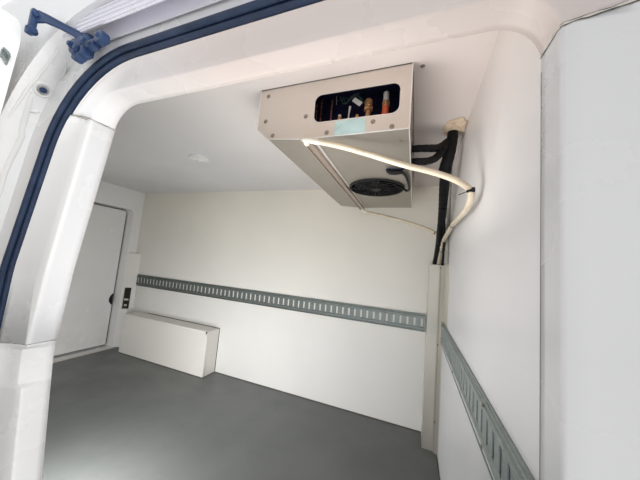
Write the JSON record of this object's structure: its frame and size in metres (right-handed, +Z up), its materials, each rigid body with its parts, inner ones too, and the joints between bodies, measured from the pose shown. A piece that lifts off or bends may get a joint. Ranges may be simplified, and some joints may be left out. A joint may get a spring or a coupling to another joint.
{
  "type": "insulated load compartment of a refrigerated panel van",
  "caption": "Insulated van body section with side doorway, rear doors, ceiling evaporator, lashing rails, wheel boxes and roof condenser.",
  "frame": {"origin": "centre of the four body mounting bolts, on the underside of the underframe", "axes": "+X forward along the load space, +Y to the vehicle's left, +Z up"},
  "size_m": [3.725, 2.102, 2.236],
  "materials": {
    "white_lining": "satin gelcoat",
    "white_paint": "gloss white paint",
    "floor_sheet": "matt grey floor sheet",
    "underframe_paint": "black chassis paint",
    "zinc_steel": "galvanised",
    "stainless": "brushed",
    "aluminium": "mill finish",
    "black_rubber": "matt",
    "black_plastic": "matt",
    "hose_cream": "satin",
    "brass": "worn",
    "foam": "foam",
    "lamp_lens": "opal lens",
    "red_lens": "gloss lens"
  },
  "bodies": {
    "compartment": {"bulkhead": "white_lining", "ceiling_lamp": "lamp_lens", "condenser_fan_mounts": "black_plastic", "condenser_housing": "white_paint", "corner_conduit": "hose_cream", "corner_duct": "stainless", "corner_post_covers": "white_lining", "cross_members": "underframe_paint", "door_frame_front_post": "white_lining", "door_frame_header": "white_lining", "door_frame_rear_foot": "white_lining", "door_frame_rear_post": "white_lining", "door_sill": "aluminium", "drain_channel": "stainless", "drain_hose_far": "hose_cream", "drain_hose_near": "hose_cream", "evaporator_coil": "aluminium", "evaporator_end_plate": "stainless", "evaporator_fan_motor": "black_plastic", "evaporator_fan_ring": "black_plastic", "evaporator_far_plate": "stainless", "evaporator_housing": "stainless", "floor_covering": "floor_sheet", "floor_panel": "white_lining", "insulated_pipes": "black_rubber", "lashing_rail_bulkhead": "zinc_steel", "lashing_rail_left": "zinc_steel", "lashing_rail_right": "zinc_steel", "left_wall": "white_paint", "rear_bumper": "black_plastic", "rear_frame": "white_paint", "rear_hinge_brackets": "white_paint", "right_wall": "white_paint", "roof_gland": "foam", "roof_panel": "white_paint", "side_door_seal": "black_rubber", "sliding_door": "white_paint", "sliding_door_arm": "black_plastic", "sliding_door_lining": "white_lining", "tail_lamps": "red_lens", "underframe": "underframe_paint", "upper_track": "white_paint", "valve_group": "brass", "waist_track": "zinc_steel", "wheel_box_left": "white_lining", "wheel_box_right": "white_lining"},
    "left_leaf": {"hinge_straps_left": "white_paint", "rear_door_left": "white_paint", "release_cup": "black_plastic"},
    "right_leaf": {"hinge_straps_right": "white_paint", "rear_door_handle": "black_plastic", "rear_door_right": "white_paint"},
    "evaporator_rotor": {"evaporator_fan": "black_plastic"},
    "condenser_rotor_left": {"condenser_fan_left": "black_plastic"},
    "condenser_rotor_right": {"condenser_fan_right": "black_plastic"}
  },
  "joints": [
    {"name": "rear_left_leaf_hinge", "type": "hinge", "parent": "compartment", "child": "left_leaf", "pos_m": [-1.811, 1.012, 1], "axis": [0, 0, -1], "range_deg": [0, 180]},
    {"name": "rear_right_leaf_hinge", "type": "hinge", "parent": "compartment", "child": "right_leaf", "pos_m": [-1.811, -1.012, 1], "axis": [0, 0, 1], "range_deg": [0, 180]},
    {"name": "evaporator_fan_spin", "type": "hinge", "parent": "compartment", "child": "evaporator_rotor", "pos_m": [1.24, 0.135, 1.742], "axis": [0, 0, 1], "continuous": true},
    {"name": "condenser_fan_left_spin", "type": "hinge", "parent": "compartment", "child": "condenser_rotor_left", "pos_m": [1.175, 0.27, 2.196], "axis": [0, 0, 1], "continuous": true},
    {"name": "condenser_fan_right_spin", "type": "hinge", "parent": "compartment", "child": "condenser_rotor_right", "pos_m": [1.175, -0.27, 2.196], "axis": [0, 0, 1], "continuous": true}
  ]
}
